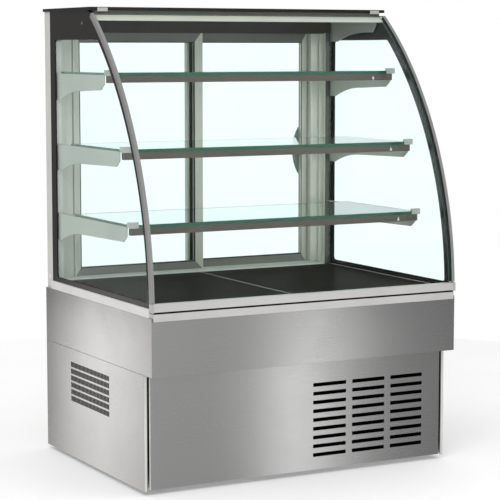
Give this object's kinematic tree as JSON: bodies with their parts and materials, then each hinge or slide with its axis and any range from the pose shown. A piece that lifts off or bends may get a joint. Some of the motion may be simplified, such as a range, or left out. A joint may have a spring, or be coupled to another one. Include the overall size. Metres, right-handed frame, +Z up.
{
  "type": "refrigerated pastry display case",
  "caption": "Refrigerated pastry display case with a curved front glass that tips forward, sliding rear doors, glass shelves and a lit canopy over a stainless cabinet.",
  "frame": {"origin": "on the floor, under the middle of the whole case", "axes": "+Z up, +Y towards the server's side with the sliding doors, +X to the right of a customer who faces the curved glass"},
  "size_m": [1, 0.771, 1.36],
  "materials": {
    "brushed_stainless": "satin",
    "galvanised_steel": "matte",
    "anodised_aluminium": "satin",
    "bracket_enamel": "satin",
    "bronze_aluminium": "satin",
    "black_enamel": "gloss",
    "clear_glass": "polished",
    "shelf_glass": "polished",
    "grey_plastic": "satin",
    "lamp_diffuser": "satin",
    "rubber_foot": "matte",
    "insulating_foam": "matte",
    "coil_aluminium": "satin",
    "black_plastic": "matte",
    "compressor_paint": "satin",
    "copper": "satin",
    "tray_plastic": "matte",
    "screw_steel": "polished"
  },
  "bodies": {
    "case": {"base_floor": "galvanised_steel", "base_uprights": "galvanised_steel", "canopy_arms": "bracket_enamel", "canopy_profile": "bronze_aluminium", "compressor": "compressor_paint", "condenser_coil": "coil_aluminium", "condenser_fan_shroud": "black_plastic", "corner_post_left": "anodised_aluminium", "corner_post_right": "anodised_aluminium", "deck_plate_left": "brushed_stainless", "deck_plate_right": "brushed_stainless", "door_jambs": "anodised_aluminium", "door_track_bottom": "anodised_aluminium", "evaporator_coil": "coil_aluminium", "evaporator_fan_housing": "black_plastic", "front_rail": "anodised_aluminium", "front_service_panel": "brushed_stainless", "lamp_bar": "lamp_diffuser", "lamp_end_caps": "grey_plastic", "levelling_feet": "rubber_foot", "lower_side_panel_left": "brushed_stainless", "lower_side_panel_right": "brushed_stainless", "panel_screws": "screw_steel", "power_inlet": "black_plastic", "rear_header": "bronze_aluminium", "rear_service_panel": "brushed_stainless", "refrigerant_pipes": "copper", "roof_catches": "grey_plastic", "roof_panel": "black_enamel", "shelf_bottom_brackets": "bracket_enamel", "shelf_bottom_glass": "shelf_glass", "shelf_clips": "grey_plastic", "shelf_middle_brackets": "bracket_enamel", "shelf_middle_glass": "shelf_glass", "shelf_rails": "bracket_enamel", "shelf_top_brackets": "bracket_enamel", "shelf_top_glass": "shelf_glass", "side_glass_left": "clear_glass", "side_glass_right": "clear_glass", "side_rails": "anodised_aluminium", "tank_insulation": "insulating_foam", "tank_liner": "brushed_stainless", "temperature_controller": "black_plastic", "upper_front_panel": "brushed_stainless", "upper_rear_panel": "brushed_stainless", "upper_side_panel_left": "brushed_stainless", "upper_side_panel_right": "brushed_stainless"},
    "front_glass_leaf": {"front_glass": "clear_glass", "glass_profile": "anodised_aluminium", "profile_end_caps": "grey_plastic", "glass_edge_trims": "anodised_aluminium"},
    "left_door": {"door_left_frame": "anodised_aluminium", "door_left_glass": "clear_glass"},
    "right_door": {"door_right_frame": "anodised_aluminium", "door_right_glass": "clear_glass", "door_right_handle": "grey_plastic"},
    "condenser_rotor": {"condenser_fan": "black_plastic"},
    "evaporator_rotor": {"evaporator_fan": "black_plastic"},
    "drip_tray": {"condensate_tray": "tray_plastic"},
    "switch_rocker": {"power_switch_rocker": "black_plastic"}
  },
  "joints": [
    {"name": "front_glass_tilt", "type": "hinge", "parent": "case", "child": "front_glass_leaf", "pos_m": [0, -0.378, 0.5175], "axis": [1, 0, 0], "range_deg": [0, 40]},
    {"name": "left_door_slide", "type": "slide", "parent": "case", "child": "left_door", "axis": [1, 0, 0], "range_m": [0, 0.395]},
    {"name": "right_door_slide", "type": "slide", "parent": "case", "child": "right_door", "axis": [-1, 0, 0], "range_m": [0, 0.395]},
    {"name": "condenser_fan_spin", "type": "hinge", "parent": "case", "child": "condenser_rotor", "pos_m": [0.235, -0.22, 0.17], "axis": [0, 1, 0], "continuous": true},
    {"name": "evaporator_fan_spin", "type": "hinge", "parent": "case", "child": "evaporator_rotor", "pos_m": [0, 0.164, 0.44], "axis": [0, 1, 0], "continuous": true},
    {"name": "drip_tray_slide", "type": "slide", "parent": "case", "child": "drip_tray", "axis": [0, 1, 0], "range_m": [0, 0.2]},
    {"name": "power_switch_rock", "type": "hinge", "parent": "case", "child": "switch_rocker", "pos_m": [-0.375, 0.379, 0.104], "axis": [1, 0, 0], "range_deg": [0, 16]}
  ]
}
